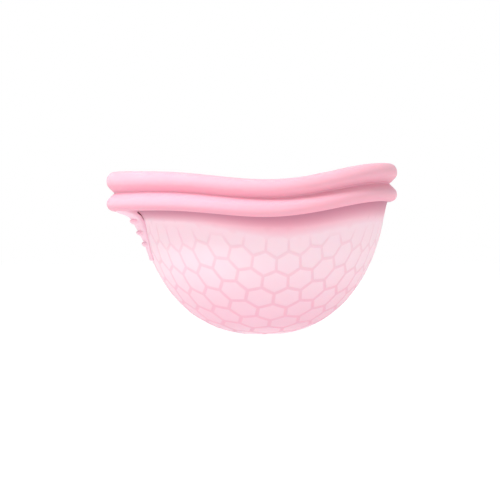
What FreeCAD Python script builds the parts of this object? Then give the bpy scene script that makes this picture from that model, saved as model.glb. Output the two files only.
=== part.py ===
"""One-piece silicone menstrual disc: a wavy double-bead rim over a thin honeycomb bowl, with a ribbed
pull tab.  Millimetres.  +Z up with the bowl's pole on z = 0, the tab on the -X side, rim centred on x = 0."""
import FreeCAD, Part
import math
import os

os.makedirs("parts", exist_ok=True)
Vec = FreeCAD.Vector

# bowl: superellipse of revolution about an axis set behind the rim's own centre
BOWL_X = 2.6
BOWL_RADIUS = 32.73
BOWL_DEPTH = 46.2
BOWL_POWER = 2.32
BOWL_TOP_Z = 27.0
BOWL_STATIONS = 9
MEMBRANE = 0.7
FOOT_RADIUS = 4.5
# half of the short step over which the wall's slope is taken
PROBE = 0.01

# honeycomb: flattened hexagons laid out by arc length from the pole, raised on the inner face
CELL_WIDTH = 7.7
ROW_STEP = 5.06
RIB_WIDTH = 0.7
RIB_HEIGHT = 0.22
LATTICE_REACH = 43.5
ARC_STEP = 0.25
CUTTER_REACH = 1.05

# rim: one wavy hoop of two beads and the waist between them
RIM_RADIUS = 37.5
RIM_STATIONS = 24
GROOVE_Z = 36.44
# harmonic of one turn and its height
WAVE = ((1, 1.33), (2, 1.46), (4, -0.55), (5, -0.11), (6, 0.12))
# how much taller the upper bead is than its section, by harmonic of one turn
SWELL = ((0, 0.08), (1, -0.02), (2, 0.08))
WAIST_HALF = 0.45
WAIST_OUT = 1.75
WAIST_IN = 4.9
WAIST_SUNK = 0.25
BEAD_IN = 5.2
CORNER = 1.9
DIAGONAL = math.sqrt(0.5)
UPPER_BEAD = 1.95
UPPER_TOP = 4.5
LOWER_BEAD = 1.86
LOWER_SET = 0.04
LOWER_BOTTOM = -4.66

# pinching: the near and far stretches of the rim are separate from the ends
SPLIT_X = 26.0
GAP = 0.3
COLLAR_DROP = 0.5
EDGE_STATIONS = 12

# collar between the bowl's edge and the rim's underside
COLLAR_OUT = 33.9
COLLAR_IN = 32.7
COLLAR_BITE = 0.5
COLLAR_KNEE = 0.7

# pull tab, hung under the front of the rim and lying close to the bowl
HINGE_X = -30.45
HINGE_Z = 29.2
KNUCKLE = 0.5
ROOT_HALF_WIDTH = 5.8
ROOT_OUT_X = -31.5
ROOT_IN_X = -30.0
ROOT_TOP_X = -34.8
ROOT_TOP_IN_X = -33.0
ROOT_TOP_Z = 32.0
ROOT_KNEE_X = -32.55
ROOT_KNEE_Z = 31.0
# height, outer face at mid-width, how far the edges lie back, half width, thickness
TONGUE = (
    (29.2, -30.95, 0.15, 5.6, 1.0),
    (27.5, -30.12, 0.90, 5.6, 0.8),
    (25.0, -28.87, 0.55, 5.3, 0.7),
    (22.5, -27.93, 0.33, 4.3, 0.6),
    (20.5, -27.24, 0.18, 3.2, 0.6),
    (19.3, -26.82, 0.12, 2.7, 0.6),
)
# height and half length of each cross rib
GRIP_RIBS = {"grip_rib_upper": (28.3, 4.6), "grip_rib_middle": (25.7, 4.2), "grip_rib_lower": (22.9, 3.3)}
GRIP_RADIUS = 0.6
GRIP_PROUD = 0.1
LIP_Z = 19.8
LIP_HALF = 2.0
LIP_RADIUS = 0.55

BIG = 60.0


def bowl_radius(z):
    """Outer radius of the bowl at height z."""
    depth = (BOWL_DEPTH - z) / BOWL_DEPTH
    return BOWL_RADIUS * (1.0 - depth ** BOWL_POWER) ** (1.0 / BOWL_POWER)


def bowl_height(radius):
    """Height of the bowl's outer face at a radius from its axis."""
    across = (radius / BOWL_RADIUS) ** BOWL_POWER
    return BOWL_DEPTH * (1.0 - (1.0 - across) ** (1.0 / BOWL_POWER))


def bowl_point(radius, inset=0.0):
    """Point of the meridian (x is the radius) moved square off the wall, towards the inside."""
    rise = bowl_height(radius + PROBE) - bowl_height(radius - PROBE)
    run = 2.0 * PROBE
    length = math.hypot(rise, run)
    return Vec(radius - inset * rise / length, 0.0, bowl_height(radius) + inset * run / length)


def meridian(inset):
    """Wall curve from the foot's edge to the bowl's top, moved inwards by inset."""
    points = []
    for i in range(BOWL_STATIONS + 1):
        t = math.sin(0.5 * math.pi * i / BOWL_STATIONS)
        outer = FOOT_RADIUS + (bowl_radius(BOWL_TOP_Z) - FOOT_RADIUS) * t
        points.append(bowl_point(outer, inset))
    points[-1] = Vec(bowl_radius(BOWL_TOP_Z) - inset, 0.0, BOWL_TOP_Z)
    curve = Part.BSplineCurve()
    curve.interpolate(points)
    return curve


def bowl_layer(outer_inset, inner_inset):
    """Solid of revolution between two insets of the wall, closed over the flat foot."""
    outer = meridian(outer_inset)
    inner = meridian(inner_inset)
    low_out, high_out = outer.StartPoint, outer.EndPoint
    low_in, high_in = inner.StartPoint, inner.EndPoint
    pole_out = Vec(0.0, 0.0, low_out.z)
    pole_in = Vec(0.0, 0.0, low_in.z)
    edges = [
        Part.makeLine(pole_out, low_out),
        outer.toShape(),
        Part.makeLine(high_out, high_in),
        inner.toShape(),
        Part.makeLine(low_in, pole_in),
        Part.makeLine(pole_in, pole_out),
    ]
    face = Part.Face(Part.Wire(Part.__sortEdges__(edges)))
    layer = face.revolve(Vec(0, 0, 0), Vec(0, 0, 1), 360.0)
    foot = Vec(BOWL_X, 0.0, -bowl_height(FOOT_RADIUS))
    layer.translate(foot)
    return layer


def arc_table():
    """Radii at even steps of arc length from the pole along the meridian."""
    table = [(0.0, 0.0)]
    radius = 0.0
    length = 0.0
    while radius + ARC_STEP < BOWL_RADIUS:
        rise = bowl_height(radius + ARC_STEP) - bowl_height(radius)
        length += math.hypot(ARC_STEP, rise)
        radius += ARC_STEP
        table.append((length, radius))
    return table


def radius_at(arc, table):
    """Radius at an arc length, read off the table."""
    for (s0, r0), (s1, r1) in zip(table, table[1:]):
        if arc <= s1:
            return r0 + (r1 - r0) * (arc - s0) / (s1 - s0)
    return table[-1][1]


def wall_point(u, v, table):
    """Wall point whose arc length from the pole is |(u, v)| in the direction (u, v)."""
    arc = math.hypot(u, v)
    if arc == 0.0:
        return Vec(0, 0, 0)
    radius = radius_at(arc, table)
    return Vec(radius * u / arc, radius * v / arc, bowl_height(radius))


def cell_cutter(u0, v0, table, centre):
    """Pyramid from the centre of the bowl through one cell's outline, reaching past the wall."""
    half_u = 0.5 * (CELL_WIDTH - RIB_WIDTH)
    tall = 2.0 / 3.0 * ROW_STEP
    half_v = tall - RIB_WIDTH / math.sqrt(3.0)
    shape = [(0, 1), (1, 0.5), (1, -0.5), (0, -1), (-1, -0.5), (-1, 0.5)]
    corners = []
    for a, b in shape:
        point = wall_point(u0 + a * half_u, v0 + b * half_v, table)
        corners.append(centre + (point - centre) * CUTTER_REACH)
    middle = centre + (wall_point(u0, v0, table) - centre) * CUTTER_REACH
    faces = []
    for first, second in zip(corners, corners[1:] + corners[:1]):
        faces.append(Part.Face(Part.makePolygon([centre, first, second, centre])))
        faces.append(Part.Face(Part.makePolygon([middle, first, second, middle])))
    return Part.Solid(Part.Shell(faces))


def honeycomb():
    """The raised lattice: a thin layer on the inner face with every cell cut out of it."""
    table = arc_table()
    centre = Vec(0, 0, BOWL_TOP_Z)
    foot_drop = bowl_height(FOOT_RADIUS)
    rows = int(LATTICE_REACH / ROW_STEP)
    columns = int(LATTICE_REACH / CELL_WIDTH) + 1
    cutters = []
    for row in range(-rows, rows + 1):
        shift = 0.5 * CELL_WIDTH * (row % 2)
        for column in range(-columns, columns + 1):
            u = column * CELL_WIDTH + shift
            v = row * ROW_STEP
            if math.hypot(u, v) < LATTICE_REACH:
                cutter = cell_cutter(u, v, table, centre)
                cutter.translate(Vec(BOWL_X, 0, -foot_drop))
                cutters.append(cutter)
    layer = bowl_layer(MEMBRANE, MEMBRANE + RIB_HEIGHT)
    return layer.cut(cutters)


def groove_z(theta):
    """Height of the rim's groove; theta runs from the back (+X) round the rim."""
    return GROOVE_Z + sum(height * math.cos(order * theta) for order, height in WAVE)


def upper_section():
    """Upper bead in (inward, up) coordinates, outermost point at inward = 0."""
    side = DIAGONAL * UPPER_BEAD
    centre_z = UPPER_TOP - UPPER_BEAD
    slope_end = Vec(UPPER_BEAD - side, 0, centre_z - side)
    corner_z = UPPER_TOP - CORNER
    inner_x = BEAD_IN - CORNER
    diagonal = DIAGONAL * CORNER
    return [
        Part.makeLine(Vec(WAIST_IN, 0, WAIST_HALF), Vec(WAIST_OUT, 0, WAIST_HALF)),
        Part.makeLine(Vec(WAIST_OUT, 0, WAIST_HALF), slope_end),
        Part.Arc(slope_end, Vec(0, 0, centre_z), Vec(UPPER_BEAD, 0, UPPER_TOP)).toShape(),
        Part.makeLine(Vec(UPPER_BEAD, 0, UPPER_TOP), Vec(inner_x, 0, UPPER_TOP)),
        Part.Arc(Vec(inner_x, 0, UPPER_TOP), Vec(inner_x + diagonal, 0, corner_z + diagonal),
                 Vec(BEAD_IN, 0, corner_z)).toShape(),
        Part.makeLine(Vec(BEAD_IN, 0, corner_z), Vec(WAIST_IN, 0, WAIST_HALF)),
    ]


def waist_section():
    """Thin neck between the beads, with the groove sunk into its outer side."""
    return [
        Part.makeLine(Vec(WAIST_OUT, 0, WAIST_HALF), Vec(WAIST_IN, 0, WAIST_HALF)),
        Part.makeLine(Vec(WAIST_IN, 0, WAIST_HALF), Vec(WAIST_IN, 0, -WAIST_HALF)),
        Part.makeLine(Vec(WAIST_IN, 0, -WAIST_HALF), Vec(WAIST_OUT, 0, -WAIST_HALF)),
        Part.Arc(Vec(WAIST_OUT, 0, -WAIST_HALF), Vec(WAIST_OUT + WAIST_SUNK, 0, 0),
                 Vec(WAIST_OUT, 0, WAIST_HALF)).toShape(),
    ]


def lower_section():
    """Lower bead, in the same coordinates as the upper one."""
    side = DIAGONAL * LOWER_BEAD
    centre_x = LOWER_SET + LOWER_BEAD
    centre_z = LOWER_BOTTOM + LOWER_BEAD
    slope_end = Vec(centre_x - side, 0, centre_z + side)
    corner_z = LOWER_BOTTOM + CORNER
    inner_x = BEAD_IN - CORNER
    diagonal = DIAGONAL * CORNER
    return [
        Part.makeLine(Vec(WAIST_OUT, 0, -WAIST_HALF), Vec(WAIST_IN, 0, -WAIST_HALF)),
        Part.makeLine(Vec(WAIST_IN, 0, -WAIST_HALF), Vec(BEAD_IN, 0, corner_z)),
        Part.Arc(Vec(BEAD_IN, 0, corner_z), Vec(inner_x + diagonal, 0, corner_z - diagonal),
                 Vec(inner_x, 0, LOWER_BOTTOM)).toShape(),
        Part.makeLine(Vec(inner_x, 0, LOWER_BOTTOM), Vec(centre_x, 0, LOWER_BOTTOM)),
        Part.Arc(Vec(centre_x, 0, LOWER_BOTTOM), Vec(LOWER_SET, 0, centre_z), slope_end).toShape(),
        Part.makeLine(slope_end, Vec(WAIST_OUT, 0, -WAIST_HALF)),
    ]


def swell(theta):
    """Height of the upper bead over that of its section."""
    return 1.0 + sum(share * math.cos(order * theta) for order, share in SWELL)


def station(theta, stretch):
    """Transform from section coordinates to the hoop at theta, stretched upwards from the waist's top."""
    c, s = math.cos(theta), math.sin(theta)
    lift = groove_z(theta) + WAIST_HALF * (1.0 - stretch)
    return FreeCAD.Matrix(
        -c, s, 0, RIM_RADIUS * c,
        -s, -c, 0, RIM_RADIUS * s,
        0, 0, stretch, lift,
        0, 0, 0, 1)


def hoop(section, swelling=False):
    """Closed hoop through the section at every station."""
    wires = []
    for i in range(RIM_STATIONS):
        theta = 2 * math.pi * i / RIM_STATIONS
        matrix = station(theta, swell(theta) if swelling else 1.0)
        wires.append(Part.Wire([edge.transformGeometry(matrix) for edge in section]))
    return Part.makeLoft(wires, True, False, True)


def split_boxes():
    """The four stretches of the rim: two ends, and the near and far sides between them."""
    side = SPLIT_X - GAP
    return {
        "front": Part.makeBox(BIG, 2 * BIG, BIG, Vec(-SPLIT_X - BIG, -BIG, 0)),
        "back": Part.makeBox(BIG, 2 * BIG, BIG, Vec(SPLIT_X, -BIG, 0)),
        "near": Part.makeBox(2 * side, BIG, BIG, Vec(-side, -BIG, 0)),
        "far": Part.makeBox(2 * side, BIG, BIG, Vec(-side, 0, 0)),
    }


def side_clearance():
    """Everything above the collar's top edge along the two moving stretches."""
    points = []
    for i in range(EDGE_STATIONS + 1):
        x = SPLIT_X * (2.0 * i / EDGE_STATIONS - 1.0)
        z = groove_z(math.acos(x / COLLAR_OUT)) + LOWER_BOTTOM - COLLAR_DROP
        points.append(Vec(x, -BIG, z))
    wave = Part.BSplineCurve()
    wave.interpolate(points)
    high_left = Vec(-SPLIT_X, -BIG, BIG)
    high_right = Vec(SPLIT_X, -BIG, BIG)
    edges = [
        wave.toShape(),
        Part.makeLine(points[-1], high_right),
        Part.makeLine(high_right, high_left),
        Part.makeLine(high_left, points[0]),
    ]
    return Part.Face(Part.Wire(edges)).extrude(Vec(0, 2 * BIG, 0))


def bezier(*poles):
    """Edge along the Bezier curve with these poles."""
    curve = Part.BezierCurve()
    curve.setPoles(list(poles))
    return curve.toShape()


def collar(lower_bead):
    """Flared band from the bowl's edge to the rim's underside, thicker towards the rim."""
    foot_drop = bowl_height(FOOT_RADIUS)
    edge_out = bowl_radius(BOWL_TOP_Z)
    edge_in = edge_out - MEMBRANE
    edge_z = BOWL_TOP_Z - foot_drop
    wires = []
    for i in range(RIM_STATIONS):
        theta = 2 * math.pi * i / RIM_STATIONS
        out = Vec(math.cos(theta), math.sin(theta), 0)
        axis = Vec(BOWL_X, 0, 0)
        top_z = groove_z(theta) + LOWER_BOTTOM + COLLAR_BITE
        knee_z = top_z - COLLAR_BITE - COLLAR_KNEE
        knee_out = bowl_radius(knee_z)
        low_out = axis + out * edge_out + Vec(0, 0, edge_z)
        low_in = axis + out * edge_in + Vec(0, 0, edge_z)
        mid_out = axis + out * knee_out + Vec(0, 0, knee_z)
        mid_in = axis + out * (knee_out - MEMBRANE) + Vec(0, 0, knee_z + COLLAR_KNEE)
        high_out = out * COLLAR_OUT + Vec(0, 0, top_z)
        high_in = out * COLLAR_IN + Vec(0, 0, top_z)
        wires.append(Part.Wire([
            bezier(low_out, mid_out, high_out),
            Part.makeLine(high_out, high_in),
            bezier(high_in, mid_in, low_in),
            Part.makeLine(low_in, low_out),
        ]))
    band = Part.makeLoft(wires, True, False, True)
    return band.cut([lower_bead, side_clearance()])


def tongue_row(z):
    """Interpolated tongue dimensions at a height."""
    for high, low in zip(TONGUE, TONGUE[1:]):
        if z >= low[0]:
            t = (high[0] - z) / (high[0] - low[0])
            return [a + (b - a) * t for a, b in zip(high, low)]
    return list(TONGUE[-1])


def tongue():
    """Thin tongue, bowed across its width, with a round knuckle along its upper edge."""
    wires = []
    for z, face_x, back, half, thick in TONGUE:
        wires.append(Part.Wire([
            bezier(Vec(face_x + back, -half, z), Vec(face_x - back, 0, z), Vec(face_x + back, half, z)),
            Part.makeLine(Vec(face_x + back, half, z), Vec(face_x + back + thick, half, z)),
            bezier(Vec(face_x + back + thick, half, z), Vec(face_x - back + thick, 0, z),
                   Vec(face_x + back + thick, -half, z)),
            Part.makeLine(Vec(face_x + back + thick, -half, z), Vec(face_x + back, -half, z)),
        ]))
    blade = Part.makeLoft(wires, True, False)
    half = TONGUE[0][3]
    knuckle = Part.makeCylinder(KNUCKLE, 2 * half, Vec(HINGE_X, -half, HINGE_Z), Vec(0, 1, 0))
    return blade.fuse(knuckle).removeSplitter()


def cross_bar(z, half_length, radius, proud, blade):
    """Round-ended bar lying across the tongue's outer face, without the part inside the tongue."""
    _, face_x, back, half, _ = tongue_row(z)
    bow = back * (half_length / half) ** 2
    mid_x = face_x - proud
    ends = [Vec(mid_x + bow, -half_length, z), Vec(mid_x + bow, half_length, z)]
    spine = Part.Wire([bezier(ends[0], Vec(mid_x - bow, 0, z), ends[1])])
    direction = Vec(-2 * bow, half_length, 0)
    profile = Part.Wire([Part.makeCircle(radius, ends[0], direction)])
    bar = spine.makePipeShell([profile], True, False)
    for end in ends:
        bar = bar.fuse(Part.makeSphere(radius, end))
    return bar.removeSplitter().cut(blade)


def tab_root(lower_bead, band):
    """Gusset that carries the tab: a short fillet under the rim, in front of the collar."""
    low_z = HINGE_Z + KNUCKLE + GAP
    knee = Vec(ROOT_KNEE_X, 0, ROOT_KNEE_Z)
    top_out = Vec(ROOT_TOP_X, 0, ROOT_TOP_Z)
    low_out = Vec(ROOT_OUT_X, 0, low_z)
    low_in = Vec(ROOT_IN_X, 0, low_z)
    top_in = Vec(ROOT_TOP_IN_X, 0, ROOT_TOP_Z)
    edges = [
        bezier(top_out, knee, low_out),
        Part.makeLine(low_out, low_in),
        Part.makeLine(low_in, top_in),
        Part.makeLine(top_in, top_out),
    ]
    face = Part.Face(Part.Wire(edges))
    face.translate(Vec(0, -ROOT_HALF_WIDTH, 0))
    block = face.extrude(Vec(0, 2 * ROOT_HALF_WIDTH, 0))
    return block.cut([lower_bead, band])


def one_solid(name, shape):
    """Write a node, keeping its one solid."""
    solids = sorted(shape.Solids, key=lambda s: s.Volume)
    piece = solids[-1]
    print(name, "solids", len(solids), "volume", round(piece.Volume, 2), "valid", piece.isValid(),
          "z", round(piece.BoundBox.ZMin, 2), round(piece.BoundBox.ZMax, 2))
    piece.exportStep("parts/" + name + ".step")


def build():
    """Every node of the disc."""
    hoops = {
        "upper_bead": hoop(upper_section(), swelling=True),
        "waist": hoop(waist_section()),
        "lower_bead": hoop(lower_section()),
    }
    boxes = split_boxes()
    for zone, box in boxes.items():
        for part, ring in hoops.items():
            one_solid("rim_" + zone + "_" + part, ring.common(box))

    band = collar(hoops["lower_bead"])
    one_solid("collar", band)
    one_solid("bowl_membrane", bowl_layer(0.0, MEMBRANE))
    one_solid("honeycomb_ribs", honeycomb())

    blade = tongue()
    one_solid("tab_root", tab_root(hoops["lower_bead"], band))
    one_solid("tab_tongue", blade)
    for name, (z, half_length) in GRIP_RIBS.items():
        one_solid(name, cross_bar(z, half_length, GRIP_RADIUS, GRIP_PROUD, blade))
    one_solid("tab_tip_lip", cross_bar(LIP_Z, LIP_HALF, LIP_RADIUS, GRIP_PROUD, blade))


build()
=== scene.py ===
"""Looks for the silicone menstrual disc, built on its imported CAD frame.  Metres throughout."""
import math
import bpy
import numpy as np
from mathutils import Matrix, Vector


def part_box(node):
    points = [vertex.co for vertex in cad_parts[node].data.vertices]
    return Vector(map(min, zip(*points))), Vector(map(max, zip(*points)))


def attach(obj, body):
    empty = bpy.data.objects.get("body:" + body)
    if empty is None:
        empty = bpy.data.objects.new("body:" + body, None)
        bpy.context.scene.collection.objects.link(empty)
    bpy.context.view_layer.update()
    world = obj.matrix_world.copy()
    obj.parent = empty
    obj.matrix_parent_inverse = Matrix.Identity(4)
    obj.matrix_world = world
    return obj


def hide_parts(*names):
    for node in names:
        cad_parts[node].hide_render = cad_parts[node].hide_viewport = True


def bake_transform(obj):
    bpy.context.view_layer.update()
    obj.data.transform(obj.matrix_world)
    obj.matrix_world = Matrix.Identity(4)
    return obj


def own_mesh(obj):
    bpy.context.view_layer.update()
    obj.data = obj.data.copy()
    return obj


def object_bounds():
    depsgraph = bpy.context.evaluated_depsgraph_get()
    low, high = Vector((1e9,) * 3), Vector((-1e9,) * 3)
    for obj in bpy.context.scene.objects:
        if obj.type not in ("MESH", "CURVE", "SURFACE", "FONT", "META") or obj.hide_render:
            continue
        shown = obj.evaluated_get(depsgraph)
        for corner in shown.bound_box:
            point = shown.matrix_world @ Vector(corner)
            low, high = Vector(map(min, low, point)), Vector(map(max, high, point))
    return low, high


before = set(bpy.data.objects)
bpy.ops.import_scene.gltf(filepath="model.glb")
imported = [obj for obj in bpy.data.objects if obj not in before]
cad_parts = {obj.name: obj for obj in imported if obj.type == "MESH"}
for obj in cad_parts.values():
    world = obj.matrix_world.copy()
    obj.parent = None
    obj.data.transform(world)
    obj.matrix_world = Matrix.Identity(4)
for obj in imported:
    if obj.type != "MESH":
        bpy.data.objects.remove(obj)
FRAME_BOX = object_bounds()

MM = 0.001
BOWL_LOW, BOWL_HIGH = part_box("bowl_membrane")
AXIS_X = 0.5 * (BOWL_LOW.x + BOWL_HIGH.x)
EDGE_Z = BOWL_HIGH.z
RIM_RADIUS = 0.5 * (FRAME_BOX[1][0] - FRAME_BOX[0][0])

# bowl profile: a superellipse of revolution, sunk so that its foot is flat
BOWL_RADIUS = 32.73 * MM
BOWL_DEPTH = 46.2 * MM
BOWL_POWER = 2.32
FOOT_RADIUS = 4.5 * MM
MEMBRANE = 0.7 * MM

# rim wave and section
GROOVE_Z = 36.44 * MM
WAVE = ((1, 1.33 * MM), (2, 1.46 * MM), (4, -0.55 * MM), (5, -0.11 * MM), (6, 0.12 * MM))
LOWER_BOTTOM = -4.66 * MM
UPPER_TOP = 4.5
TOP_SWELL = ((0, 0.08), (1, -0.02), (2, 0.08))
RIM_STATIONS = 320
CURVE_STEPS = 12
SECTION_SPACING = 0.16

# rim painted shade over the section (groove, under the lower bead, and a little over the whole lower bead),
# in millimetres over the groove
SHADE_PARTING = -0.3
UPPER_SHADE_Z = -0.1
UPPER_SHADE_FADE = 3.4
LOWER_SHADE_FADE = 1.3
UNDER_SHADE_Z = -2.6
UNDER_SHADE_FADE = 2.0
LOWER_BEAD_SHADE = 0.22

# honeycomb bars on the wall, and how they fade out below the collar
CELL_WIDTH = 7.7 * MM
ROW_STEP = 5.06 * MM
RIB_HALF_LOW = 0.56 * MM
RIB_HALF_HIGH = 0.40 * MM
SIDE_STEPS = 6
# across a bar: distance from its middle in half widths, and share of its height
BAR_PROFILE = ((0.0, 1.0), (0.5, 1.0), (0.8, 0.85), (1.05, 0.4), (1.3, 0.0), (2.0, 0.0), (3.2, 0.0))
CELL_OVERHANG = 0.4
MERGE_STEP = 0.002 * MM
REACH_SLACK = 1e-7
OUTER_RELIEF = 0.06 * MM
INNER_RELIEF = 0.2 * MM
LATTICE_FRONT = 1.2 * MM
LATTICE_END = 4.4 * MM
LATTICE_FADE = 3.0 * MM

# tints of the wall: its bars' own colour, painted shade in the band and crease under the rim, and painted
# shade on the low part
RIB_TINT_HIGH = 0.25
RIB_TINT_LOW = 0.75
BAND_DEPTH = 5.4 * MM
BAND_TAPER = 3.2 * MM
BAND_POWER = 1.6
CREASE_DEPTH = 2.8 * MM
CREASE_BACK = 1.4 * MM
FOOT_PAINTED_SHADE = 0.6
FOOT_TINT_Z = 22.0 * MM
FOOT_EDGE_Z = 5.0 * MM
FOOT_EDGE_TINT = 0.3


# ---------------------------------------------------------------- helpers
def smoothstep(x):
    x = np.clip(x, 0, 1)
    return x * x * (3 - 2 * x)


def make_mesh(name, points, quads, tris=(), smooth=True):
    mesh = bpy.data.meshes.new(name)
    faces = [tuple(int(i) for i in q) for q in quads] + [tuple(int(i) for i in t) for t in tris]
    mesh.from_pydata([tuple(float(c) for c in p) for p in points], [], faces)
    mesh.validate()
    mesh.update()
    if smooth:
        mesh.polygons.foreach_set("use_smooth", [True] * len(mesh.polygons))
    obj = bpy.data.objects.new(name, mesh)
    bpy.context.scene.collection.objects.link(obj)
    return obj


def grid_quads(rows, columns, wrap_rows=False):
    """Quads over a rows x columns grid of points stored row by row, closed along each row."""
    r = np.arange(rows if wrap_rows else rows - 1)
    c = np.arange(columns)
    i, j = np.meshgrid(r, c, indexing="ij")
    i2, j2 = (i + 1) % rows, (j + 1) % columns
    quads = np.stack([i * columns + j, i * columns + j2, i2 * columns + j2, i2 * columns + j], -1)
    return quads.reshape(-1, 4)


def paint(obj, name, values):
    """Store one number per point, for the material to mix a tint by."""
    attribute = obj.data.attributes.new(name, "FLOAT", "POINT")
    attribute.data.foreach_set("value", np.asarray(values, np.float32))


# ---------------------------------------------------------------- rim
def groove_z(theta):
    z = np.full_like(theta, GROOVE_Z)
    for order, height in WAVE:
        z = z + height * np.cos(order * theta)
    return z


def arc(centre, radius, start, end, count):
    """Points along an arc, angles in degrees, both ends included."""
    a = np.radians(np.linspace(start, end, count))
    return [(centre[0] + radius * math.cos(t), centre[1] + radius * math.sin(t)) for t in a]


def smooth_outline(corners, spacing):
    """Closed Catmull-Rom curve through the corners, resampled at an even spacing."""
    corners = np.array(corners, float)
    before, after, later = np.roll(corners, 1, 0), np.roll(corners, -1, 0), np.roll(corners, -2, 0)
    t = np.linspace(0, 1, CURVE_STEPS, endpoint=False)[:, None, None]
    a = 2 * corners
    b = after - before
    c = 2 * before - 5 * corners + 4 * after - later
    d = 3 * corners - before - 3 * after + later
    curve = 0.5 * (a + b * t + c * t ** 2 + d * t ** 3)
    curve = curve.transpose(1, 0, 2).reshape(-1, 2)
    closed = np.vstack([curve, curve[:1]])
    length = np.concatenate([[0], np.cumsum(np.hypot(*np.diff(closed, axis=0).T))])
    at = np.linspace(0, length[-1], int(length[-1] / spacing), endpoint=False)
    return np.stack([np.interp(at, length, closed[:, 0]), np.interp(at, length, closed[:, 1])], -1)


def rim_section():
    """Closed outline of the rim: inward distance from the outermost radius, and height over the groove."""
    outline = []
    outline += arc((1.95, 2.55), 1.95, 90, 214, 8)
    outline += [(0.85, 0.92), (1.45, 0.42), (1.92, 0.1), (1.94, -0.16), (1.6, -0.5), (1.05, -1.0)]
    outline += arc((1.9, -2.8), 1.86, 145, 270, 8)
    outline += [(2.7, -4.66)]
    outline += arc((3.3, -2.76), 1.9, 270, 360, 5)
    outline += [(5.12, -1.0), (4.95, 0.3)]
    outline += arc((3.4, 2.7), 1.8, 0, 90, 6)
    outline += [(2.7, UPPER_TOP)]
    return smooth_outline(outline, SECTION_SPACING) * MM


def build_rim():
    section = rim_section()
    theta = 2 * math.pi * np.arange(RIM_STATIONS) / RIM_STATIONS
    radius = RIM_RADIUS - section[:, 0][None, :]
    x = radius * np.cos(theta)[:, None]
    y = radius * np.sin(theta)[:, None]
    swell = 1 + sum(share * np.cos(order * theta) for order, share in TOP_SWELL)
    up = section[:, 1][None, :] * np.ones((RIM_STATIONS, 1))
    up = np.where(up > 0, up * swell[:, None], up)
    z = groove_z(theta)[:, None] + up
    points = np.stack([x, y, z], -1).reshape(-1, 3)
    rim = make_mesh("rim", points, grid_quads(RIM_STATIONS, len(section), wrap_rows=True))
    # painted shade in the groove and under the beads, fixed to the rim's section
    paint(rim, "thickness_and_painted_shade", np.tile(rim_painted_shade(section[:, 1] / MM), RIM_STATIONS))
    return rim


def rim_painted_shade(z):
    """How deep the painted shade lies over the section: full in the groove and under both beads."""
    upper = 1 - (z - UPPER_SHADE_Z) / UPPER_SHADE_FADE
    lower = 1 + (z - SHADE_PARTING) / LOWER_SHADE_FADE
    under = (UNDER_SHADE_Z - z) / UNDER_SHADE_FADE
    lower = np.maximum(np.maximum(lower, under), LOWER_BEAD_SHADE)
    return np.clip(np.where(z > SHADE_PARTING, upper, lower), 0, 1)


# ---------------------------------------------------------------- bowl and collar
def bowl_height(radius):
    across = (radius / BOWL_RADIUS) ** BOWL_POWER
    return BOWL_DEPTH * (1.0 - (1.0 - across) ** (1.0 / BOWL_POWER))


def bowl_radius(z):
    depth = (BOWL_DEPTH - z) / BOWL_DEPTH
    return BOWL_RADIUS * (1.0 - depth ** BOWL_POWER) ** (1.0 / BOWL_POWER)


# the bowl's profile against arc length from its pole; the collar carries it on past EDGE_S
FOOT_DROP = bowl_height(FOOT_RADIUS)
PROFILE_SAMPLES = 600
PROFILE_R = np.linspace(0, bowl_radius(EDGE_Z + FOOT_DROP), PROFILE_SAMPLES)
PROFILE_Z = bowl_height(PROFILE_R)
PROFILE_S = np.concatenate([[0], np.cumsum(np.hypot(np.diff(PROFILE_R), np.diff(PROFILE_Z)))])
EDGE_S = PROFILE_S[-1]
COLLAR_LENGTH = 11.0 * MM
COLLAR_OUT = 33.4 * MM
COLLAR_BACK = 2.0 * MM
COLLAR_BITE = 0.5 * MM
FLARE_POWER = 3.6
COLLAR_EXTRA = 1.0 * MM
THICKEN_BELOW = 2.0 * MM
THICKEN_RUN = 9.0 * MM
SLOPE_STEP = 0.1 * MM
TINY = 1e-9


def wall(u, v):
    """Outer wall points at arc length |(u, v)| from the pole."""
    s = np.hypot(u, v)
    theta = np.arctan2(v, u)
    c, d = np.cos(theta), np.sin(theta)
    r = np.interp(s, PROFILE_S, PROFILE_R)
    z = np.maximum(np.interp(s, PROFILE_S, PROFILE_Z) - FOOT_DROP, 0.0)
    rim_z = groove_z(theta) + LOWER_BOTTOM + COLLAR_BITE
    tau = np.clip((s - EDGE_S) / COLLAR_LENGTH, 0, 1)
    t = 1 - (1 - tau) ** 2
    zc = EDGE_Z + (rim_z - EDGE_Z) * t
    rc = bowl_radius(zc + FOOT_DROP)
    top_r = bowl_radius(rim_z + FOOT_DROP)
    seat = COLLAR_OUT + COLLAR_BACK * (0.5 + 0.5 * c) ** 2
    flare = 1 - np.sqrt(np.clip(1 - t ** FLARE_POWER, 0, 1))
    on_collar = s > EDGE_S
    radial = np.where(on_collar, rc, r)
    height = np.where(on_collar, zc, z)
    x = AXIS_X + radial * c + np.where(on_collar, flare * (seat * c - AXIS_X - top_r * c), 0)
    y = radial * d + np.where(on_collar, flare * (seat * d - top_r * d), 0)
    return np.stack([x, y, height], -1)


def inset_wall(u, v, inset):
    """Wall points moved square off the wall by inset, towards the bowl's inside."""
    s = np.maximum(np.hypot(u, v), TINY)
    c, d = u / s, v / s
    below = np.maximum(s - SLOPE_STEP, 0.0)
    along = wall(u, v) - wall(c * below, d * below)
    run = along[:, 0] * c + along[:, 1] * d
    rise = along[:, 2]
    length = np.maximum(np.hypot(run, rise), TINY ** 2)
    out, down = rise / length, run / length
    shift = np.stack([out * c, out * d, -down], -1)
    return wall(u, v) - inset[:, None] * shift


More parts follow.
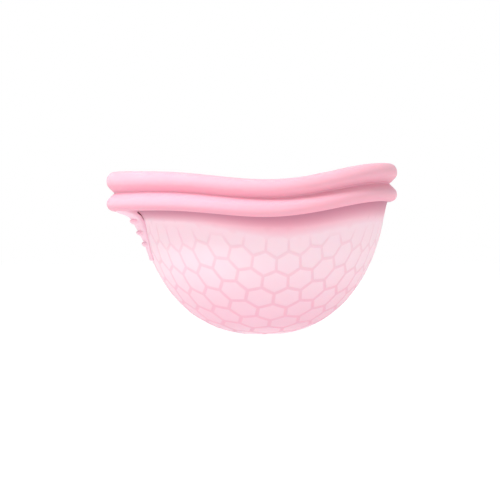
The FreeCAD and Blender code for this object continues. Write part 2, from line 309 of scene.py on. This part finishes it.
def hex_outline(inset, steps):
    """Closed outline of one cell, inset from the lattice line, sampled steps times per side."""
    half_u = 0.5 * CELL_WIDTH
    tall = 2.0 / 3.0 * ROW_STEP
    corners = np.array([(0, tall), (half_u, tall / 2), (half_u, -tall / 2),
                        (0, -tall), (-half_u, -tall / 2), (-half_u, tall / 2)])
    scale_u = (half_u - inset) / half_u
    slant = math.hypot(half_u, tall / 2)
    scale_v = (tall - inset * slant / half_u) / tall
    corners = corners * np.array([scale_u, scale_v])
    points = []
    for a, b in zip(corners, np.roll(corners, -1, 0)):
        for i in range(steps):
            points.append(a + (b - a) * i / steps)
    return np.array(points)


def honeycomb_layout():
    """Points in the flattened (u, v) sheet, with rib height share, and the faces over them."""
    count = 6 * SIDE_STEPS
    reach = EDGE_S + COLLAR_LENGTH
    points, shares, quads, tris = [], [], [], []
    rows = int(reach / ROW_STEP) + 2
    columns = int(reach / CELL_WIDTH) + 2
    for row in range(-rows, rows + 1):
        for column in range(-columns, columns + 1):
            centre = np.array([column * CELL_WIDTH + 0.5 * CELL_WIDTH * (row % 2), row * ROW_STEP])
            far = np.hypot(*centre) / reach
            if far > 1 + CELL_OVERHANG * CELL_WIDTH / reach:
                continue
            half = RIB_HALF_LOW + (RIB_HALF_HIGH - RIB_HALF_LOW) * min(far, 1.0)
            base = len(points)
            for across, share in BAR_PROFILE:
                points.extend(hex_outline(across * half, SIDE_STEPS) + centre)
                shares.extend([share] * count)
            points.append(centre)
            shares.append(0.0)
            quads.extend(grid_quads(len(BAR_PROFILE), count) + base)
            last = base + (len(BAR_PROFILE) - 1) * count
            middle = base + len(BAR_PROFILE) * count
            for i in range(count):
                tris.append((last + i, last + (i + 1) % count, middle))
    points = np.array(points)
    shares = np.array(shares)
    keys = np.round(points / MERGE_STEP).astype(np.int64)
    _, first, where = np.unique(keys, axis=0, return_index=True, return_inverse=True)
    where = where.reshape(-1)
    return points[first], shares[first], where[np.array(quads)], where[np.array(tris)]


def build_shell():
    """Bowl, collar and lattice as one closed skin, honeycomb mesh outside and inside."""
    uv, share, quads, tris = honeycomb_layout()
    reach = EDGE_S + COLLAR_LENGTH
    s = np.hypot(uv[:, 0], uv[:, 1])
    over = np.maximum(s / reach, 1.0)
    uv = uv / over[:, None]
    s = np.minimum(s, reach)
    inside = s < reach - REACH_SLACK
    keep_q = quads[inside[quads].any(axis=1)]
    keep_t = tris[inside[tris].any(axis=1)]
    along = uv[:, 0] / np.maximum(s, TINY)
    end = EDGE_S - LATTICE_FRONT + LATTICE_END * along ** 2
    rib = share * smoothstep((end - s) / LATTICE_FADE)
    thickness_and_painted_shade = smoothstep((s - EDGE_S + THICKEN_BELOW) / THICKEN_RUN)
    height = wall(uv[:, 0], uv[:, 1])[:, 2]
    theta = np.arctan2(uv[:, 1], uv[:, 0])
    below = groove_z(theta) + LOWER_BOTTOM - height
    # painted shade: darkening in the crease just under the rim, reaching further down at the back
    crease_depth = CREASE_DEPTH + CREASE_BACK * np.maximum(np.cos(theta), 0)
    painted_crease_shade = np.clip(1 - below / crease_depth, 0, 1)
    # painted shade: a band under the rim where its shadow falls, narrower towards the front
    band_depth = BAND_DEPTH + BAND_TAPER * np.minimum(np.cos(theta), 0)
    painted_shade_band = 1 - np.clip(below / band_depth, 0, 1) ** BAND_POWER
    outer = inset_wall(uv[:, 0], uv[:, 1], -OUTER_RELIEF * rib)
    inner = inset_wall(uv[:, 0], uv[:, 1], MEMBRANE + COLLAR_EXTRA * thickness_and_painted_shade ** 2 + INNER_RELIEF * rib)
    outer[:, 2] = np.maximum(outer[:, 2], 0)
    n = len(uv)
    points = np.concatenate([outer, inner])
    all_quads = np.concatenate([keep_q[:, ::-1], keep_q + n])
    all_tris = np.concatenate([keep_t[:, ::-1], keep_t + n])
    shell = make_mesh("bowl_shell", points, all_quads, all_tris)
    tint = rib * (RIB_TINT_HIGH + (RIB_TINT_LOW - RIB_TINT_HIGH) * smoothstep(1 - height / EDGE_Z))
    paint(shell, "rib", np.concatenate([tint, tint]))
    # painted shade: the wall darker towards the bottom, eased off right at the foot
    foot = (FOOT_PAINTED_SHADE * smoothstep(1 - height / FOOT_TINT_Z)
            * smoothstep(FOOT_EDGE_TINT + height / FOOT_EDGE_Z))
    # painted crease shade, on the outer face only
    paint(shell, "thickness_and_painted_shade", np.concatenate([painted_crease_shade, 0 * painted_crease_shade]))
    paint(shell, "foot", np.concatenate([foot, foot]))
    # painted shadow band under the rim, on the outer face only
    paint(shell, "painted_shade_band", np.concatenate([painted_shade_band, 0 * painted_shade_band]))
    return shell


# ---------------------------------------------------------------- pull tab
def smooth_curve(stops, values, at):
    """Smooth interpolation through values at stops (Catmull-Rom tangents)."""
    stops, values = np.array(stops, float), np.array(values, float)
    slopes = np.gradient(values, stops)
    i = np.clip(np.searchsorted(stops, at) - 1, 0, len(stops) - 2)
    h = stops[i + 1] - stops[i]
    t = (at - stops[i]) / h
    a, b = values[i], values[i + 1]
    ma, mb = slopes[i] * h, slopes[i + 1] * h
    return ((2 * t ** 3 - 3 * t ** 2 + 1) * a + (t ** 3 - 2 * t ** 2 + t) * ma
            + (-2 * t ** 3 + 3 * t ** 2) * b + (t ** 3 - t ** 2) * mb)


# down the tab: height, outer face at mid-width, how far the edges lie back, half width (mm)
TAB_STATIONS = (
    (32.0, -35.2, 0.6, 6.2),
    (31.5, -35.1, 0.7, 6.2),
    (31.0, -34.3, 0.9, 6.1),
    (30.6, -33.1, 1.0, 6.0),
    (30.2, -32.3, 1.1, 5.9),
    (29.6, -31.4, 1.25, 5.8),
    (28.7, -30.8, 1.5, 5.8),
    (27.5, -30.1, 1.35, 5.7),
    (25.8, -29.13, 1.02, 5.4),
    (24.6, -28.5, 0.8, 5.0),
    (22.5, -27.53, 0.37, 4.2),
    (21.5, -27.18, 0.22, 3.6),
    (20.6, -26.87, 0.18, 3.1),
    (19.8, -26.65, 0.15, 2.9),
    (18.8, -26.38, 0.12, 2.6),
)
# thickness in the middle and at the edges of the first stations; below them the tab lies on the bowl
TAB_ROOT = ((1.9, 1.2), (5.0, 4.2), (5.0, 3.4), (4.0, 2.6), (3.3, 2.2), (2.45, 1.5))
TAB_SET = 0.05
# height and half length of each cross rib
TAB_RIBS = ((28.72, 4.5), (25.83, 4.0), (22.99, 3.2))
TAB_RIB_RADIUS = 0.65
TAB_RIB_PROUD = 0.68
TAB_RIB_TINT = 0.6
TAB_RIB_ROUND = 0.65
TAB_SHARP = math.radians(50)
TAB_ROWS = 300
TAB_TIP_ROUND = 0.45
TAB_TIP_THIN = 0.25
TAB_TIP_NARROW = 0.6
# the inner face is hollow between its edges low down, and squarer from this height up
TAB_HOLLOW = 2
TAB_SQUARE = 14
TAB_SQUARE_Z = 28.0
TAB_SQUARE_RISE = 1.5
# how far round the rounded ends the painted shade on the inner side reaches
TAB_EDGE_SHADE_TURN = 1.2
FACE_COLUMNS = 48
END_COLUMNS = 9
BACK_COLUMNS = 20


def tab_row(face, back, half, thickness_and_painted_shade, edge, z):
    """Closed outline of the tab at one height (outer face, far end, inner face, near end), and its tint:
    the ribs' own colour and painted shade on the inner side.
    """
    end = 0.5 * edge
    flat = max(half - end, 0.05)
    turn = np.linspace(0, math.pi, END_COLUMNS + 2)[1:-1]
    # painted shade on the inner half of each rounded end, where it meets the bowl
    edge_painted_shade = smoothstep((turn - 0.5 * math.pi) / TAB_EDGE_SHADE_TURN)
    bulge = end * np.sin(np.minimum(turn, 0.5 * math.pi))
    across = np.linspace(-flat, flat, FACE_COLUMNS)
    behind = np.linspace(flat, -flat, BACK_COLUMNS)
    y = np.concatenate([across, flat + bulge, behind, -flat - bulge[::-1]])
    power = TAB_HOLLOW + TAB_SQUARE * smoothstep((z - TAB_SQUARE_Z) / TAB_SQUARE_RISE)
    inner = edge + (thickness_and_painted_shade - edge) * (1 - np.abs(behind / flat) ** power)
    x = np.concatenate([0 * across, end - end * np.cos(turn), inner, end + end * np.cos(turn)])
    proud = 0 * across
    for height, length in TAB_RIBS:
        away = np.hypot(np.maximum(np.abs(across) - length, 0), z - height) / TAB_RIB_RADIUS
        proud += (1 - np.minimum(away, 1) ** 2) ** TAB_RIB_ROUND
    x[:FACE_COLUMNS] -= TAB_RIB_PROUD * proud
    x = x + face + back * (y / half) ** 2
    # the ribs get their own deeper colour; the inner face and the inner sides of the ends get painted shade
    deep = np.concatenate([TAB_RIB_TINT * proud, edge_painted_shade, 0 * behind + 1, edge_painted_shade[::-1]])
    return x, y, deep


def bowl_face(y, z):
    """x of the bowl's outer face on the tab's side, in millimetres."""
    return AXIS_X / MM - math.sqrt((bowl_radius(z * MM + FOOT_DROP) / MM) ** 2 - y ** 2)


def build_tab():
    rows = []
    for k, (z, face, back, half) in enumerate(TAB_STATIONS):
        if k < len(TAB_ROOT):
            rows.append((z, face, back, half, *TAB_ROOT[k]))
        else:
            thickness_and_painted_shade = bowl_face(0, z) - TAB_SET - face
            edge = bowl_face(half, z) - face - back
            rows.append((z, face, back, half, thickness_and_painted_shade, edge))
    data = np.array(rows)
    depth = data[0, 0] - data[:, 0]
    at = np.linspace(0, depth[-1], TAB_ROWS)
    face, back, half, thickness_and_painted_shade, edge = (smooth_curve(depth, data[:, k], at) for k in range(1, 6))
    points, tints = [], []
    for k in range(TAB_ROWS):
        z = data[0, 0] - at[k]
        x, y, deep = tab_row(face[k], back[k], half[k], thickness_and_painted_shade[k], edge[k], z)
        left = (depth[-1] - at[k]) / TAB_TIP_ROUND
        share = math.sqrt(1 - (1 - min(left, 1.0)) ** 2)
        middle = face[k] + 0.5 * thickness_and_painted_shade[k]
        x = middle + (x - middle) * (TAB_TIP_THIN + (1 - TAB_TIP_THIN) * share)
        y = y * (TAB_TIP_NARROW + (1 - TAB_TIP_NARROW) * share)
        points += [(a * MM, b * MM, z * MM) for a, b in zip(x, y)]
        tints.extend(deep)
    columns = len(points) // TAB_ROWS
    top = len(points)
    points += [tuple(np.array(points[:columns]).mean(0)), tuple(np.array(points[-columns:]).mean(0))]
    quads = grid_quads(TAB_ROWS, columns)[:, ::-1]
    start = (TAB_ROWS - 1) * columns
    tris = [(top, i, (i + 1) % columns) for i in range(columns)]
    tris += [(top + 1, start + (i + 1) % columns, start + i) for i in range(columns)]
    tab = make_mesh("pull_tab", points, quads, tris)
    # rib colour and painted shade along the tab's inner side
    paint(tab, "thickness_and_painted_shade", tints + [0, 0])
    tab.data.set_sharp_from_angle(angle=TAB_SHARP)
    return tab


# ---------------------------------------------------------------- materials
ROUGHNESS = 0.55
REFRACTION = 1.41
SPECULAR = 0.12
SCATTER_COLOUR = (1.0, 0.3, 0.4)
GRAIN_SCALE = 4500.0
GRAIN_DETAIL = 2.0
GRAIN_STRENGTH = 0.06
GRAIN_HEIGHT = 0.03 * MM


def silicone(name, base, sss, scale, deep=None, low=None, painted_shade_band=None, rib=None):
    """Soft matt silicone, tinted by the values painted on the mesh (painted shade, and the bars' and ribs'
    own colour) and with a fine moulded grain.
    """
    material = bpy.data.materials.new(name)
    material.use_nodes = True
    nodes, links = material.node_tree.nodes, material.node_tree.links
    shader = nodes["Principled BSDF"]
    shader.inputs["Base Color"].default_value = (*base, 1)
    shader.inputs["Roughness"].default_value = ROUGHNESS
    shader.inputs["IOR"].default_value = REFRACTION
    shader.inputs["Specular IOR Level"].default_value = SPECULAR
    shader.inputs["Subsurface Weight"].default_value = sss
    shader.inputs["Subsurface Radius"].default_value = SCATTER_COLOUR
    shader.inputs["Subsurface Scale"].default_value = scale
    colour = None
    # the low, band and deep tints lay in painted shade (the tab's deep tint also gives its ribs their own
    # colour); the rib tint is the bars' own colour
    for attribute, tint in (("foot", low), ("painted_shade_band", painted_shade_band), ("rib", rib), ("thickness_and_painted_shade", deep)):
        if tint is None:
            continue
        reader = nodes.new("ShaderNodeAttribute")
        reader.attribute_name = attribute
        mix = nodes.new("ShaderNodeMix")
        mix.data_type = "RGBA"
        links.new(reader.outputs["Fac"], mix.inputs["Factor"])
        if colour is None:
            mix.inputs["A"].default_value = (*base, 1)
        else:
            links.new(colour, mix.inputs["A"])
        mix.inputs["B"].default_value = (*tint, 1)
        colour = mix.outputs["Result"]
    if colour is not None:
        links.new(colour, shader.inputs["Base Color"])
    grain = nodes.new("ShaderNodeTexNoise")
    grain.inputs["Scale"].default_value = GRAIN_SCALE
    grain.inputs["Detail"].default_value = GRAIN_DETAIL
    place = nodes.new("ShaderNodeTexCoord")
    links.new(place.outputs["Object"], grain.inputs["Vector"])
    bump = nodes.new("ShaderNodeBump")
    bump.inputs["Strength"].default_value = GRAIN_STRENGTH
    bump.inputs["Distance"].default_value = GRAIN_HEIGHT
    links.new(grain.outputs["Fac"], bump.inputs["Height"])
    links.new(bump.outputs["Normal"], shader.inputs["Normal"])
    return material


def give(obj, material):
    obj.data.materials.append(material)


# ---------------------------------------------------------------- assembly
RIM_NODES = ["rim_%s_%s" % (zone, part) for zone in ("front", "back", "near", "far")
             for part in ("upper_bead", "waist", "lower_bead")]
RIM_SILICONE = silicone("rim_silicone", (0.96, 0.50, 0.595), 0.4, 1.5 * MM, deep=(0.83, 0.39, 0.49))
BOWL_SILICONE = silicone("bowl_silicone", (0.97, 0.73, 0.80), 0.25, 1.0 * MM, deep=(0.52, 0.22, 0.30),
                         low=(0.78, 0.42, 0.53), painted_shade_band=(0.90, 0.41, 0.52), rib=(0.84, 0.43, 0.54))
TAB_SILICONE = silicone("tab_silicone", (0.95, 0.64, 0.74), 0.1, 0.4 * MM, deep=(0.93, 0.50, 0.61))

rim = build_rim()
give(rim, RIM_SILICONE)
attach(rim, "base")
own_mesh(rim)
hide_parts(*RIM_NODES)

shell = build_shell()
give(shell, BOWL_SILICONE)
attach(shell, "base")
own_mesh(shell)
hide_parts("collar", "bowl_membrane", "honeycomb_ribs")

tab = build_tab()
give(tab, TAB_SILICONE)
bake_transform(tab)
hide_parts("tab_root", "tab_tongue", "grip_rib_upper", "grip_rib_middle", "grip_rib_lower",
            "tab_tip_lip")


# ---------------------------------------------------------------- stage, light and camera
FLOOR_REACH = 3.0
FLOOR_TONE = 0.2
FLOOR_GLOW = 0.86
FLOOR_ROUGHNESS = 0.9
# sky brightness near the horizon and overhead, and the rise of the view direction where it changes
SKY_LOW = 1.0
SKY_HIGH = 0.45
SKY_LOW_RISE = 0.15
SKY_HIGH_RISE = 0.4
KEY_PLACE = (-0.62, -0.56, 1.08)
KEY_TARGET = (0, 0, 0.03)
KEY_SIZE = 0.5
KEY_POWER = 15.5


def floor_material():
    """Pale floor with a glow of its own, as over a light table."""
    material = bpy.data.materials.new("floor_white")
    material.use_nodes = True
    shader = material.node_tree.nodes["Principled BSDF"]
    shader.inputs["Base Color"].default_value = (FLOOR_TONE, FLOOR_TONE, FLOOR_TONE, 1)
    shader.inputs["Roughness"].default_value = FLOOR_ROUGHNESS
    shader.inputs["Emission Color"].default_value = (1, 1, 1, 1)
    shader.inputs["Emission Strength"].default_value = FLOOR_GLOW
    return material


CORNERS = [(a * FLOOR_REACH, b * FLOOR_REACH, 0) for a, b in ((-1, -1), (1, -1), (1, 1), (-1, 1))]
floor = make_mesh("floor", CORNERS, [(0, 1, 2, 3)], smooth=False)
floor.data.materials.append(floor_material())

world = bpy.data.worlds.new("studio")
world.use_nodes = True
sky = world.node_tree
sky.nodes["Background"].inputs["Color"].default_value = (1, 1, 1, 1)
direction = sky.nodes.new("ShaderNodeTexCoord")
split = sky.nodes.new("ShaderNodeSeparateXYZ")
dome = sky.nodes.new("ShaderNodeMapRange")
sky.links.new(direction.outputs["Generated"], split.inputs["Vector"])
sky.links.new(split.outputs["Z"], dome.inputs["Value"])
dome.inputs["From Min"].default_value = SKY_LOW_RISE
dome.inputs["From Max"].default_value = SKY_HIGH_RISE
dome.inputs["To Min"].default_value = SKY_LOW
dome.inputs["To Max"].default_value = SKY_HIGH
sky.links.new(dome.outputs["Result"], sky.nodes["Background"].inputs["Strength"])
bpy.context.scene.world = world

key_data = bpy.data.lights.new("key", "AREA")
key_data.size = KEY_SIZE
key_data.energy = KEY_POWER
key = bpy.data.objects.new("key", key_data)
key.location = KEY_PLACE
key.rotation_euler = (Vector(KEY_TARGET) - Vector(KEY_PLACE)).to_track_quat("-Z", "Y").to_euler()
bpy.context.scene.collection.objects.link(key)

bpy.context.scene.view_settings.view_transform = "Standard"

AZIMUTH = math.radians(-7.2)
DISTANCE = 0.6
VIEW_WIDTH = 0.1293
CENTRE_SIDE = -0.00305
CENTRE_Z = 0.02157
SENSOR = 36.0
CLIP = (0.01, 20.0)
camera_data = bpy.data.cameras.new("camera")
camera_data.sensor_width = SENSOR
camera_data.lens = SENSOR * DISTANCE / VIEW_WIDTH
camera_data.clip_start, camera_data.clip_end = CLIP
camera = bpy.data.objects.new("camera", camera_data)
right = (math.cos(AZIMUTH), math.sin(AZIMUTH))
back = (math.sin(AZIMUTH), -math.cos(AZIMUTH))
camera.location = (AXIS_X + right[0] * CENTRE_SIDE + back[0] * DISTANCE,
                   right[1] * CENTRE_SIDE + back[1] * DISTANCE, CENTRE_Z)
camera.rotation_euler = (math.pi / 2, 0, AZIMUTH)
bpy.context.scene.collection.objects.link(camera)
bpy.context.scene.camera = camera
